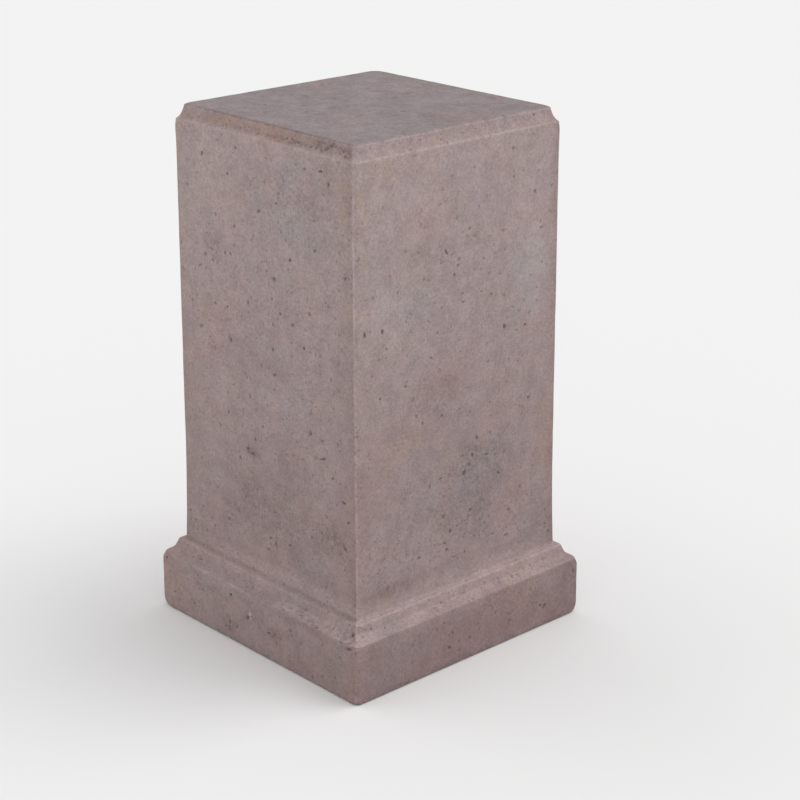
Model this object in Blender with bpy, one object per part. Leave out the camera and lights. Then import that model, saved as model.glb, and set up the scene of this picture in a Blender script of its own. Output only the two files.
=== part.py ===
"""Square pedestal of cast stone, one casting with a flat underside.

From the floor up: a low plinth, a base moulding of cove and fillet, a tall
shaft that narrows slightly, and a table set in above a cavetto.
Metres, +Z up, origin at the middle of the underside.
"""

from math import atan2, cos, hypot, pi, radians, sin, tan

import bmesh
import bpy

# Plinth
PLINTH_WIDTH = 0.3556           # across its faces, just above the floor
PLINTH_HEIGHT = 0.0697          # floor to the arris under the moulding
PLINTH_DRAFT = 0.0005           # how far each face leans in towards the arris
FOOT_ROUND = 0.0030             # worn lower edge
PLINTH_ROUND = 0.0025           # arris under the moulding
PLINTH_CORNER = 0.0050          # upright corners, seen in plan
WORN_CORNER = 0.0110            # the same corners where they meet the arris
WEAR_HEIGHT = 0.0060            # how far down a corner that wear reaches

# Base moulding, as steps in from the plinth's arris to the shaft
COVE_WIDTH = 0.0103             # sloping foot of the cove
COVE_RISE = 0.0060
THROAT_WIDTH = 0.0042           # steep upper part of the cove
THROAT_RISE = 0.0112
FILLET_WIDTH = 0.0063           # sloping fillet against the shaft
FILLET_RISE = 0.0024
COVE_ROUND = 0.0090             # hollow between slope and throat
FILLET_ROUND = 0.0020           # outer edge of the fillet
CREASE_ROUND = 0.0010           # inner angle at the shaft
MOULDING_CORNER = 0.0045        # mitres, seen in plan

# Shaft
SHAFT_HEIGHT = 0.5090           # crease at the foot to the arris at the head
SHAFT_BATTER = 0.0024           # how far each face leans in over that height
FOOT_FLARE = 0.0018             # each face eases out by this at the foot
FOOT_FLARE_HEIGHT = 0.1200
HEAD_FLARE = 0.0007             # and by this at the head
HEAD_FLARE_HEIGHT = 0.0450
SHAFT_ROUND = 0.0025            # arris at the head
SHAFT_CORNER = 0.0045           # upright corners, seen in plan

# Cavetto and table
CAVETTO_WIDTH = 0.0075
CAVETTO_RISE = 0.0112
CAVETTO_DEPTH = 0.0013          # hollow behind a straight line from edge to edge
TABLE_EDGE = 0.0050             # upright edge of the table
TABLE_DRAFT = 0.0007
TABLE_ROUND = 0.0018            # arris round the top face
TABLE_CORNER = 0.0030           # corners of the table, seen in plan

# Fineness of the curves
CORNER_STEPS = 4                # flats round each upright corner
ROUND_STEPS = 4                 # flats round each edge of the outline
HOLLOW_STEPS = 6                # flats down the cavetto
FLARE_STEPS = 5                 # flats along each flare

# Finish
STONE_COLOUR = (0.330, 0.252, 0.248, 1.0)
STONE_ROUGHNESS = 0.88


def clear_scene():
    for item in list(bpy.data.objects):
        bpy.data.objects.remove(item, do_unlink=True)


def cast_stone():
    """Matt mauve-brown cast stone."""
    material = bpy.data.materials.new("cast_stone")
    material.use_nodes = True
    shader = material.node_tree.nodes["Principled BSDF"]
    shader.inputs["Base Color"].default_value = STONE_COLOUR
    shader.inputs["Roughness"].default_value = STONE_ROUGHNESS
    shader.inputs["Metallic"].default_value = 0.0
    material.diffuse_color = STONE_COLOUR
    return material


def shaft_points(foot, base):
    """Outline points up the shaft, which eases out towards both of its ends.

    foot is the half-width at the crease, base the height of the crease.
    """
    straight = foot - FOOT_FLARE
    levels = [FOOT_FLARE_HEIGHT * step / FLARE_STEPS for step in range(1, FLARE_STEPS + 1)]
    levels += [SHAFT_HEIGHT - HEAD_FLARE_HEIGHT * (1 - step / FLARE_STEPS) for step in range(FLARE_STEPS)]
    points = []
    for level in levels:
        lean = SHAFT_BATTER * level / SHAFT_HEIGHT
        foot_ease = FOOT_FLARE * max(0.0, 1 - level / FOOT_FLARE_HEIGHT) ** 2
        head_ease = HEAD_FLARE * max(0.0, 1 - (SHAFT_HEIGHT - level) / HEAD_FLARE_HEIGHT) ** 2
        points.append((straight - lean + foot_ease + head_ease, base + level, 0.0, SHAFT_CORNER))
    return points


def hollow_points(start, end, depth):
    """Points strictly between two ends of an arc that sinks in by depth, both ends left out."""
    run = end[0] - start[0]
    rise = end[1] - start[1]
    chord = hypot(run, rise)
    half_turn = 2 * atan2(2 * depth, chord)
    radius = chord / (2 * sin(half_turn))
    points = []
    for step in range(1, HOLLOW_STEPS):
        turn = half_turn * (2 * step / HOLLOW_STEPS - 1)
        along = 0.5 + radius * sin(turn) / chord
        sink = radius * (cos(turn) - cos(half_turn))
        width = start[0] + run * along - sink * rise / chord
        height = start[1] + rise * along + sink * run / chord
        corner = start[3] + (end[3] - start[3]) * along
        points.append((width, height, 0.0, corner))
    return points


def outline():
    """The profile from the underside to the top face.

    Each point is half-width, height, rounding of the edge there, and the
    radius of the upright corner there.
    """
    width = PLINTH_WIDTH / 2
    height = 0.0
    points = [(width, height, FOOT_ROUND, PLINTH_CORNER)]

    wear_start = PLINTH_HEIGHT - WEAR_HEIGHT
    lean = PLINTH_DRAFT * wear_start / PLINTH_HEIGHT
    points.append((width - lean, wear_start, 0.0, PLINTH_CORNER))
    width -= PLINTH_DRAFT
    height += PLINTH_HEIGHT
    points.append((width, height, PLINTH_ROUND, WORN_CORNER))

    width -= COVE_WIDTH
    height += COVE_RISE
    points.append((width, height, COVE_ROUND, MOULDING_CORNER))
    width -= THROAT_WIDTH
    height += THROAT_RISE
    points.append((width, height, FILLET_ROUND, MOULDING_CORNER))
    width -= FILLET_WIDTH
    height += FILLET_RISE
    points.append((width, height, CREASE_ROUND, SHAFT_CORNER))

    points += shaft_points(width, height)
    width -= FOOT_FLARE + SHAFT_BATTER - HEAD_FLARE
    height += SHAFT_HEIGHT
    points.append((width, height, SHAFT_ROUND, SHAFT_CORNER))

    table_foot = (width - CAVETTO_WIDTH, height + CAVETTO_RISE, 0.0, TABLE_CORNER)
    points += hollow_points(points[-1], table_foot, CAVETTO_DEPTH)
    points.append(table_foot)
    points.append((table_foot[0] - TABLE_DRAFT, table_foot[1] + TABLE_EDGE, TABLE_ROUND, TABLE_CORNER))
    return points


def rounded(before, point, after):
    """The arc that rounds one point of the outline, tangent to both of its sides."""
    width, height, radius, corner = point
    if radius == 0.0:
        return [(width, height, corner)]
    side_in = (before[0] - width, before[1] - height)
    side_out = (after[0] - width, after[1] - height)
    length_in = hypot(*side_in)
    length_out = hypot(*side_out)
    angle_in = atan2(side_in[1], side_in[0])
    opening = (atan2(side_out[1], side_out[0]) - angle_in) % (2 * pi)
    turns_left = opening > pi
    opening = 2 * pi - opening if turns_left else opening
    reach = min(radius / tan(opening / 2), 0.45 * length_in, 0.45 * length_out)
    radius = reach * tan(opening / 2)
    bisector = angle_in - opening / 2 if turns_left else angle_in + opening / 2
    away = radius / sin(opening / 2)
    centre = (width + away * cos(bisector), height + away * sin(bisector))
    half_sweep = (pi - opening) / 2
    sign = -1 if turns_left else 1
    arc = []
    for step in range(ROUND_STEPS + 1):
        angle = bisector + pi + sign * half_sweep * (1 - 2 * step / ROUND_STEPS)
        arc.append((centre[0] + radius * cos(angle), centre[1] + radius * sin(angle), corner))
    return arc


def softened(points):
    """The outline with its edges rounded, closed by the axis below and above."""
    below = (0.0, points[0][1])
    above = (0.0, points[-1][1])
    padded = [below] + points + [above]
    rings = []
    for before, point, after in zip(padded, padded[1:], padded[2:]):
        rings += rounded(before, point, after)
    return rings


def ring_vertices(mesh, half_width, height, corner):
    """A square ring of vertices with rounded corners, anticlockwise from above."""
    inner = half_width - corner
    vertices = []
    for quarter in range(4):
        turn = quarter * pi / 2
        centre_x = inner * (cos(turn) - sin(turn))
        centre_y = inner * (sin(turn) + cos(turn))
        for step in range(CORNER_STEPS + 1):
            angle = turn + pi / 2 * step / CORNER_STEPS
            position = (centre_x + corner * cos(angle), centre_y + corner * sin(angle), height)
            vertices.append(mesh.verts.new(position))
    return vertices


def make_pedestal(material):
    """Stack rings up the outline, join them with a skin and close both ends."""
    mesh = bmesh.new()
    rings = [ring_vertices(mesh, *ring) for ring in softened(outline())]
    for lower, upper in zip(rings, rings[1:]):
        count = len(lower)
        for index in range(count):
            following = (index + 1) % count
            mesh.faces.new((lower[index], lower[following], upper[following], upper[index]))
    mesh.faces.new(reversed(rings[0]))
    mesh.faces.new(rings[-1])

    data = bpy.data.meshes.new("pedestal")
    mesh.to_mesh(data)
    mesh.free()
    data.materials.append(material)
    data.shade_smooth()
    data.set_sharp_from_angle(angle=radians(35))
    pedestal = bpy.data.objects.new("pedestal", data)
    bpy.context.collection.objects.link(pedestal)
    return pedestal


clear_scene()
make_pedestal(cast_stone())
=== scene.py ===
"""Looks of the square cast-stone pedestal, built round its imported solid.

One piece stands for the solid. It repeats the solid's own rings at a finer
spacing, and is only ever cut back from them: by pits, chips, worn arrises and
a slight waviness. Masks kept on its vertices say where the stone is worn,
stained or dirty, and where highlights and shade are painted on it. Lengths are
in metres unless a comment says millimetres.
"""

from math import cos, hypot, pi, radians, sin

import bmesh
import bpy
import numpy as np
from mathutils import Matrix, Vector, noise


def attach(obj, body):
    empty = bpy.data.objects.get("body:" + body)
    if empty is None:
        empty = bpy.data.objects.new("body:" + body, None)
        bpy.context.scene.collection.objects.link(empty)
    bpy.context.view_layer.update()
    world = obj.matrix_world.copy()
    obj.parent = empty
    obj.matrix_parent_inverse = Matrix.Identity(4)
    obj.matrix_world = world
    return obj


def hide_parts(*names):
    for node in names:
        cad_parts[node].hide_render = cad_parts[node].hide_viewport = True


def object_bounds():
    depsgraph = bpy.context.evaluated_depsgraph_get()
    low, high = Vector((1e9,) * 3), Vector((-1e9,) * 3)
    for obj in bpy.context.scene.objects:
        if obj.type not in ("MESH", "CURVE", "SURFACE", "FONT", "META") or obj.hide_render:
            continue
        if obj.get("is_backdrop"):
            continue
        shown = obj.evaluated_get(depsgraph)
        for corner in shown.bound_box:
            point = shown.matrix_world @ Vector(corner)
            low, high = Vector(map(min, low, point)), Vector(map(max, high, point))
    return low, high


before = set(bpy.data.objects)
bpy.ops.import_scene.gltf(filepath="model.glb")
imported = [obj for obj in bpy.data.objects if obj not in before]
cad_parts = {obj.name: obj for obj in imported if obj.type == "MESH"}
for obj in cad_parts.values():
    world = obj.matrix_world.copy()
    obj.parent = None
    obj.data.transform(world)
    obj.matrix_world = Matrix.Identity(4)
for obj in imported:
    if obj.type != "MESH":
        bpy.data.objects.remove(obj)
CAD_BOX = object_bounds()

MM = 0.001
UP = Vector((0, 0, 1))
SEED = 11

# Fineness of the mesh
CORNER_STEPS = 6                # flats round each upright corner
FINE_STEP = 0.0013              # spacing beside a rounded edge
COARSE_STEP = 0.0110            # spacing in the middle of a face
STEP_GROWTH = 1.6               # each step against the one before it
RING_GAP = 0.0030               # rings closer than this belong to a rounded edge
REFINE_PASSES = 4
REFINE_SHARE = 0.55             # longest side in a flaw, against its smaller half-width
REFINE_FLOOR = 0.0012           # a face with no side longer than this is left alone
SLIGHT_DEPTH = 0.0011           # flaws no deeper than this get a coarser mesh
SLIGHT_COARSENESS = 1.6
REFINE_REACH = 1.10             # how far from a flaw, against its half-length
FLAW_REACH = 1.5                # how far its own shape goes, in the same measure
LEVEL_DIGITS = 5                # heights that agree this far are one ring
LEVEL_GAP = 1e-5
FULL_TURN = radians(40)         # an edge that turns this much is masked in full
TABLE_START = 0.0005            # the table starts this far inside its arris

# Camera
CAMERA_AZIMUTH = radians(47.316)
CAMERA_ELEVATION = radians(20.014)
CAMERA_DISTANCE = 2.3252
CAMERA_LENS = 90.232
CAMERA_AIM = Vector((0.0342, 0.0187, 0.2708))

# Upright sides, each with its outward direction and the direction that counts along it.
# LEFT and RIGHT are the two that the camera sees.
LEFT = (Vector((0, -1, 0)), Vector((1, 0, 0)))
RIGHT = (Vector((1, 0, 0)), Vector((0, 1, 0)))
BACK = (Vector((0, 1, 0)), Vector((-1, 0, 0)))
FAR = (Vector((-1, 0, 0)), Vector((0, -1, 0)))
SIDES = (LEFT, RIGHT, BACK, FAR)

# Notable pits in millimetres: place along the side, height, length, width, tilt in degrees
LEFT_PITS = (
    (-42, 582, 4, 3, 80), (-131, 526, 6, 2.5, -15), (-66, 460, 5.5, 4.2, 0),
    (-102, 451, 6.5, 5, 10), (-88, 447, 5, 4, 90), (44, 464, 4.5, 3, 60), (73, 579, 5, 3.5, 20),
    (19, 448, 7, 4.5, 20), (78, 422, 4.8, 4.6, 0), (49, 403, 8, 4, 15), (-27, 411, 7, 4, 75),
    (-86, 397, 4.6, 4.2, 0), (-114, 364, 6.5, 5, 30), (-60, 361, 8, 5, -25), (15, 367, 5.5, 4, 0),
    (136, 474, 6, 4, 10), (17, 338, 7, 4, 10), (-27, 302, 5, 3.2, 80), (97, 283, 5, 3.4, 20),
    (123, 286, 4.6, 3.6, -30), (114, 244, 6, 3.2, 20), (139, 200, 4.6, 4.2, 0),
    (-24, 233, 6.5, 5, 0), (-33, 237, 7, 4, 10), (-47, 222, 5.5, 4.4, -40),
    (134, 167, 7, 4.4, -10), (-71, 139, 4.6, 4, 0), (6, 139, 5, 3.4, 5), (15, 135, 7, 4, 70),
    (40, 141, 5.5, 4, 10), (2, 124, 4.6, 4.2, 0), (-12, 40, 6.5, 4.5, 50), (-46, 22, 7.5, 5, 90),
    (-53, 14, 6, 3, 45), (26, 34, 8, 3.2, 0), (40, 42, 5, 3, 60), (47, 34, 5, 2.6, 0),
    (164, 65, 11, 5, 20), (159, 77, 5.5, 4.5, 0), (142, 72, 8, 2.4, -40), (129, 75, 6, 2.2, 60),
    (151, 69, 9, 2.2, -15), (100, 71, 6, 2, 10), (77, 73, 5, 2, 20), (-167, 64, 6, 4, 80),
)
RIGHT_PITS = (
    (77, 579, 6, 3.4, 85), (79, 547, 3.6, 3.4, 0), (113, 525, 5, 3.8, 80), (12, 501, 5, 4, 0),
    (124, 482, 5.5, 3.4, 10), (-4, 470, 5.5, 3, 85), (-5, 463, 6.5, 3.6, 10),
    (-11, 454, 3.6, 3, 0), (34, 463, 4.6, 3.2, 80), (3, 420, 4.6, 3.4, 0), (46, 420, 4.4, 3.2, 20),
    (66, 415, 5, 2.6, 0), (-45, 367, 4.6, 3.2, 0), (-67, 305, 7, 3, 95), (-58, 295, 5.6, 3.4, 75),
    (-29, 296, 4.8, 3.2, 20), (108, 284, 5, 4, 80), (26, 256, 6, 4.2, -60), (19, 237, 7, 3.8, -60),
    (14, 227, 6.5, 4, -10), (6, 219, 8.5, 4.6, 40), (42, 232, 8, 3.4, -20), (3, 240, 5.5, 2.8, 10),
    (-47, 217, 7, 3.4, 80), (-31, 222, 4.8, 3.4, 45), (61, 204, 4.6, 4, 0), (97, 177, 7.5, 3, -60),
    (-26, 175, 7.5, 4.6, 35), (16, 171, 5.5, 4.4, 0), (78, 154, 3.8, 3.6, 0),
    (-24, 142, 6.5, 3.2, 0), (-21, 133, 5, 4.6, 0), (-64, 136, 6.5, 3.2, 15),
    (52, 131, 9, 2.6, -20), (7, 122, 4, 3.6, 0), (-10, 121, 8.5, 2.8, -10),
    (74, 123, 6.5, 3.6, 15), (-37, 24, 5.5, 4.4, 0), (-32, 41, 5.5, 3, -10), (-5, 26, 7, 3, -10),
    (119, 25, 8.5, 5, 30), (112, 28, 5, 4, 0), (168, 55, 5, 3.4, 90),
)

# The darkest pits
LEFT_DEEP = (
    (-103, 566, 6, 4.5, 90), (-48, 494, 7.4, 3.4, 65), (47, 475, 6.5, 4.2, 10),
    (88, 494, 5, 3.6, 15), (25, 533, 7, 3, -5), (99, 581, 6.5, 4.5, 10), (111, 569, 7, 3.4, 80),
    (29, 411, 5.5, 3.4, 10), (68, 381, 7, 3.2, -10), (77, 286, 7, 5.4, 60),
    (-67, 272, 4.4, 3.6, 45), (98, 262, 10.5, 3.6, 20), (132, 221, 7, 3.8, 0),
    (-43, 58, 5.5, 4.5, 90), (-58, 551, 4.6, 3.2, 20), (-5, 519, 7, 4, 5), (-64, 398, 3.6, 3, 0),
)
RIGHT_DEEP = (
    (-23, 481, 8.5, 3.4, -60), (-141, 414, 8, 4.2, 100), (-116, 412, 7, 4.6, -65),
    (68, 378, 8, 5, -35), (101, 373, 5, 3.6, -20), (-120, 338, 3.6, 3.2, 0),
    (-83, 343, 3.6, 3.2, 0),
)

# Slighter marks
LEFT_MARKS = (
    (-75, 585, 6, 3, 40), (-62, 581, 4, 3, 0), (10, 580, 5, 2.6, 0), (60, 581, 6, 2.6, 20),
    (80, 590, 4.6, 2.6, 0), (45, 573, 6, 3, 40), (70, 562, 7, 2.6, 60), (30, 561, 4, 3, 0),
    (-13, 553, 10, 2.8, 45), (6, 553, 8, 2.6, 10), (-117, 552, 6, 3.6, 80), (-30, 543, 10, 2.6, 0),
    (-100, 537, 4, 3, 0), (48, 544, 7, 3.4, 0), (30, 545, 5, 3, 60), (87, 545, 7, 2.6, 70),
    (77, 536, 5, 2.8, -30), (40, 534, 6, 2.8, 0), (-75, 520, 5, 3, 60), (133, 520, 5, 3, 0),
    (20, 522, 4, 2.8, 0), (84, 503, 7, 2.4, 30), (73, 498, 5, 2.8, 0), (100, 506, 4, 2.6, 0),
    (-32, 503, 5, 2.4, 20), (123, 489, 6, 3.6, 80), (-49, 472, 7, 3, 10), (-18, 485, 5, 2.8, 60),
    (-82, 469, 7, 2.8, 30), (-90, 460, 6, 3, 60), (28, 455, 6, 2.6, 60), (60, 452, 5, 3, 30),
    (50, 440, 7, 3, 30), (60, 432, 4, 3, 0), (10, 443, 5, 2.8, 80), (-110, 437, 6, 3.6, 0),
    (-122, 430, 5, 3, 60), (-108, 415, 5, 3.6, 0), (11, 413, 4.6, 3.4, 0), (70, 403, 5, 2.8, 60),
    (-64, 383, 5, 3.6, 0), (125, 378, 6, 2.8, 0), (101, 372, 5, 2.8, 0), (112, 357, 6, 4, 60),
    (-8, 378, 5, 2.8, 0), (-5, 343, 7, 4, 80), (117, 342, 6, 4, 40), (65, 327, 8, 3, -20),
    (-34, 327, 5, 3.2, 0), (-127, 322, 7, 3, -30), (78, 309, 6, 3.8, 10), (95, 307, 4, 2.8, 0),
    (-112, 303, 10, 2.6, -30), (-67, 296, 5, 3.8, 45), (-48, 297, 4, 3, 0), (-15, 288, 6, 3, 80),
    (-54, 278, 5, 3, 90), (-109, 273, 5, 4.2, 0), (-42, 262, 5, 3, 60), (1, 259, 4, 3, 0),
    (-55, 254, 5, 3, 0), (65, 253, 4, 3, 0), (36, 250, 8, 3, 30), (48, 252, 6, 3, 60),
    (135, 240, 5, 3, 60), (100, 225, 5, 2.6, 0), (-44, 183, 4.2, 3.4, 80), (105, 172, 6, 4, 40),
    (117, 177, 5, 3, 20), (-90, 172, 6, 3, 60), (-15, 170, 7, 2.8, 80), (-84, 162, 4.6, 3, 0),
    (20, 162, 5, 2.8, 0), (-52, 157, 6, 2.8, 30), (105, 152, 6, 3.4, 0), (17, 131, 7, 3.4, 80),
    (-103, 129, 4, 3, 0), (-53, 127, 5, 3, 20), (45, 125, 5, 3, 0), (-126, 50, 5, 3, 0),
    (-107, 50, 7, 4, 45), (-33, 23, 4.6, 3.4, 0), (66, 46, 7, 3, 10), (83, 42, 5, 3.4, 90),
    (10, 35, 5, 2.8, 45), (-3, 62, 6, 2.8, 60), (62, 12, 6, 3, 30), (106, 45, 5, 3, 0),
    (135, 40, 6, 3.4, 60), (150, 50, 6, 3.4, 60), (120, 15, 6, 3.8, 60), (118, 60, 8, 3, 20),
    (142, 22, 5, 3, 45),
)
RIGHT_MARKS = (
    (-70, 593, 8, 3.2, 0), (-15, 563, 6, 3.4, 20), (18, 567, 5, 3, 0), (-30, 552, 5, 3, 60),
    (94, 552, 9, 3.4, 60), (75, 567, 4.2, 2.8, 0), (107, 590, 4.6, 3, 0), (-33, 535, 7, 3.4, 30),
    (115, 534, 4.4, 3, 0), (-64, 488, 8, 3.6, 0), (42, 487, 6, 3, 0), (20, 491, 12, 4, -30),
    (-50, 455, 7, 3.4, 0), (50, 466, 4.2, 2.8, 0), (42, 445, 5.6, 3.2, 70),
    (-41, 428, 4.4, 3.6, 0), (-75, 423, 8, 3.4, -20), (10, 430, 5.4, 3, 60),
    (-49, 409, 8, 3.4, -50), (-136, 435, 5, 3, 0), (90, 392, 5, 3, -20), (107, 386, 6, 3.6, 20),
    (40, 364, 7, 3.6, 60), (-81, 377, 4.4, 3.2, 0), (31, 388, 4.2, 3, 60), (-88, 358, 5, 3, 0),
    (-114, 396, 4.4, 3, 0), (110, 350, 6, 3.2, 0), (-132, 366, 4.4, 3, 0), (-72, 326, 8, 3.6, 60),
    (-23, 336, 4.6, 3.2, 0), (98, 337, 4.6, 3, 0), (90, 320, 5, 3, 30), (-25, 308, 4.2, 3.2, 0),
    (95, 287, 5, 3, 0), (15, 290, 5.2, 3.4, 90), (-2, 297, 5.2, 3.2, 60), (-34, 280, 5, 3, 0),
    (-137, 278, 5, 3.8, 60), (99, 275, 5, 3.6, 0), (76, 257, 9, 3.6, 60), (38, 240, 5, 3, 20),
    (55, 228, 5, 3.8, 0), (70, 228, 6, 3.6, 0), (-112, 222, 4.6, 3.2, 0), (-96, 235, 4.6, 3, 0),
    (-40, 236, 5, 3, 80), (41, 217, 4.2, 3, 0), (-32, 204, 5.2, 3.2, 0), (99, 201, 5, 3, 80),
    (30, 200, 5, 3, 0), (-80, 175, 6, 3.4, 60), (36, 178, 9, 3.2, -20), (48, 168, 6, 3.4, 60),
    (24, 150, 5, 3, 60), (-137, 158, 4.4, 3, 0), (-48, 127, 4.6, 3.4, 0), (-82, 146, 4.4, 3, 0),
    (-112, 115, 9, 3.8, 60), (95, 107, 6, 3.4, 0), (145, 107, 6, 4, 0), (-22, 15, 6, 3.8, 60),
    (-12, 45, 6, 2.8, 30), (35, 43, 12, 3, 10), (28, 55, 8, 3, -20), (75, 56, 8, 3, -30),
    (95, 53, 6, 3, -30), (58, 35, 8, 2.8, -20), (-20, 80, 5, 3, 0), (-4, 78, 4.4, 3, 0),
    (66, 80, 5, 3, 0),
)

# Pits in the cavetto round the top, on the left side: place, height, length, width, tilt
CAVETTO_PITS = (
    (134, 602, 5.5, 4, 0), (129, 606, 5.5, 3.6, 10), (103, 605, 5.5, 4, 0), (97, 602, 4.5, 3, 20),
    (80, 603, 5, 3.6, 0), (88, 604, 4, 3, 0), (58, 604, 5.5, 3.4, 0), (48, 605, 3.6, 3, 0),
    (39, 605, 4.4, 3.2, 0), (20, 603, 4, 2.6, 0), (-8, 603, 5, 2.6, 0), (-38, 604, 3.6, 2.6, 0),
)

# Places where the arrises are chipped, in millimetres: place, height, length, width, tilt
LEFT_CHIPS = (
    (52, 72, 16, 6, 0), (84, 73, 12, 5, -8), (112, 72, 15, 6, 0), (129, 74, 7, 5, 60),
    (142, 72, 9, 5, -40), (151, 75, 10, 7, 0), (160, 77, 6, 5, 30), (-40, 70, 60, 4, 0),
    (-105, 70, 50, 3.6, 0), (63, 612, 5, 3, 0),
)
RIGHT_CHIPS = (
    (-156, 86, 5, 4, 80), (120, 24, 3, 2.6, 0), (141, 608, 6, 3.4, 0), (-68, 597, 5, 2.4, 0),
)

WHITE_CHIPS = (
    (-8, 46, 7, 5, 80), (-7, 41, 4.4, 3, 60),
)

# Pits on the table: place along X, place along Y, length, width, tilt
TABLE_PITS = (
    (-43, -55, 5, 4, 0), (-13, -42, 7, 3, 45), (-50, 57, 7, 3.6, 45), (-62, 93, 7, 3.6, 45),
    (-13, 74, 7, 3.6, 45), (-8, 50, 8, 3, 45), (102, -65, 5, 3, 45), (39, -90, 6, 3, 45),
    (36, -101, 5, 3, 45), (55, 5, 7, 2.6, 45),
)

# Stains in millimetres, by side and kind: place, height, half-length, half-height, strength
STAINS = (
    (LEFT, "dark", (
        (-28, 180, 26, 26, 0.34), (-22, 236, 26, 12, 0.30), (42, 245, 26, 28, 0.24),
        (-30, 350, 46, 20, 0.22), (22, 340, 22, 10, 0.28), (134, 380, 16, 50, 0.30),
        (128, 190, 34, 60, 0.34), (113, 576, 20, 24, 0.30), (20, 190, 60, 40, 0.16),
        (-60, 140, 60, 30, 0.12), (60, 146, 50, 30, 0.14), (90, 116, 60, 14, 0.27),
        # The last row darkens the LEFT cavetto: dirt, with painted shade
        (130, 30, 90, 44, 0.26), (112, 65, 70, 6, 0.46), (20, 610, 190, 12, 0.38),
    )),
    (LEFT, "grey", (
        (48, 520, 28, 55, 1.0), (-5, 450, 45, 26, 0.7), (48, 428, 30, 28, 0.7),
        (-86, 300, 20, 25, 0.6), (30, 310, 40, 30, 0.6), (-95, 195, 36, 34, 0.5),
        (-10, 500, 30, 50, 0.4), (-66, 68, 96, 13, 1.0),
    )),
    (LEFT, "grime", (
        # The rows on this line darken the LEFT cavetto: dirt, with painted shade
        (50, 603, 110, 3.0, 0.26), (112, 606, 44, 6.5, 0.32), (-80, 603, 60, 2.4, 0.12),
        (-10, 613.6, 100, 1.6, 0.14), (160, 70, 20, 12, 0.30), (-48, 19, 13, 10, 0.20),
        (-12, 42, 10, 7, 0.20), (34, 36, 20, 7, 0.13), (-108, 50, 11, 7, 0.18),
        (-30, 236, 18, 9, 0.24), (60, 542, 62, 40, 0.14), (10, 175, 100, 50, 0.12),
        (110, 168, 30, 18, 0.22), (-88, 462, 14, 14, 0.22), (0, 2, 260, 4, 0.12),
    )),
    (LEFT, "pale", (
        (-92, 545, 24, 50, 0.28), (-86, 300, 24, 32, 0.22), (-85, 455, 20, 20, 0.12),
        (-125, 470, 32, 90, 0.10), (-105, 180, 46, 80, 0.09), (-150, 35, 70, 60, 0.16),
        (45, 530, 26, 60, 0.16), (10, 310, 44, 12, 0.10), (20, 97, 170, 10, 0.5),
        (145, 77, 34, 10, 0.70), (120, 92, 70, 5, 0.60), (-66, 70, 96, 9, 0.16),
    )),
    (LEFT, "tan", (
        (-146, 550, 20, 60, 0.8), (-140, 450, 14, 60, 0.4), (136, 545, 14, 62, 0.9),
        (140, 440, 12, 50, 0.4), (-105, 560, 40, 50, 0.35), (-135, 220, 30, 130, 0.5),
        (-150, 35, 60, 60, 0.8), (-98, 346, 18, 14, 0.5), (0, 607, 190, 11, 0.9),
    )),
    (RIGHT, "dark", (
        (-12, 325, 30, 50, 0.30), (-30, 362, 20, 16, 0.16), (-146, 235, 14, 44, 0.42),
        (-105, 112, 50, 12, 0.48), (135, 130, 18, 44, 0.32), (-22, 486, 24, 16, 0.18),
        (-60, 488, 28, 12, 0.18), (12, 240, 34, 30, 0.30), (35, 190, 40, 40, 0.26),
        (0, 250, 190, 90, 0.18), (0, 30, 360, 46, 0.62), (165, 35, 50, 60, 0.72),
        (150, 130, 14, 60, 0.50),
    )),
    (RIGHT, "grey", (
        (106, 440, 30, 54, 1.0), (-60, 405, 30, 40, 0.7), (0, 524, 60, 22, 0.4),
        (80, 385, 30, 20, 0.5), (60, 330, 50, 40, 0.3), (32, 195, 50, 56, 0.4),
        (-50, 222, 30, 34, 0.5),
    )),
    (RIGHT, "grime", (
        (25, 225, 50, 30, 0.18), (10, 180, 70, 50, 0.12), (-50, 320, 50, 30, 0.12),
        (-100, 112, 46, 9, 0.13), (60, 106, 100, 6, 0.10), (0, 2, 260, 5, 0.18),
        (-162, 84, 8, 6, 0.14), (25, 608, 130, 8, 0.12),
    )),
    (RIGHT, "pale", (
        (-98, 547, 56, 22, 0.20), (106, 440, 30, 54, 0.38), (105, 530, 30, 50, 0.14),
        (-112, 425, 36, 46, 0.26), (0, 590, 150, 14, 0.08), (0, 97, 190, 9, 0.45),
    )),
    (RIGHT, "tan", (
        (-145, 520, 14, 90, 0.7), (-120, 580, 40, 22, 0.5), (-60, 586, 50, 12, 0.3),
        (125, 585, 30, 18, 0.4), (-86, 286, 30, 20, 0.8), (-118, 262, 30, 14, 0.6),
        (138, 235, 14, 60, 0.9),
    )),
)

# Stains on the table: place along X, place along Y, half-lengths along X and Y, kind, strength
TABLE_STAINS = (
    (110, 15, 34, 34, "dark", 0.23), (110, 100, 30, 24, "dark", 0.16),
    (80, -85, 45, 40, "pale", 0.2), (-60, -60, 60, 45, "grey", 0.5),
    (-60, 60, 60, 50, "pale", 0.1),
)

# Strength of each kind of stain in the patches on the other two sides
HIDDEN_SIDES = {"tan": 0.70, "grey": 0.80, "dark": 0.26, "pale": 0.13}


def srgb(red, green, blue):
    """A linear colour from 8-bit display values."""
    shares = [channel / 255 for channel in (red, green, blue)]
    linear = [s / 12.92 if s <= 0.04045 else ((s + 0.055) / 1.055) ** 2.4 for s in shares]
    return (*linear, 1.0)


# Outline, read from the solid

def solid_rings(node):
    """The solid's rings from the floor up: height, half-width, corner radius."""
    places = np.array([vertex.co for vertex in node.data.vertices])
    rings = []
    for height in sorted(set(np.round(places[:, 2], LEVEL_DIGITS))):
        ring = places[np.abs(places[:, 2] - height) < LEVEL_GAP]
        half_width = ring[:, 0].max()
        on_face = ring[ring[:, 0] > half_width - LEVEL_GAP]
        rings.append((height, half_width, half_width - on_face[:, 1].max()))
    return np.array(rings)


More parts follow.
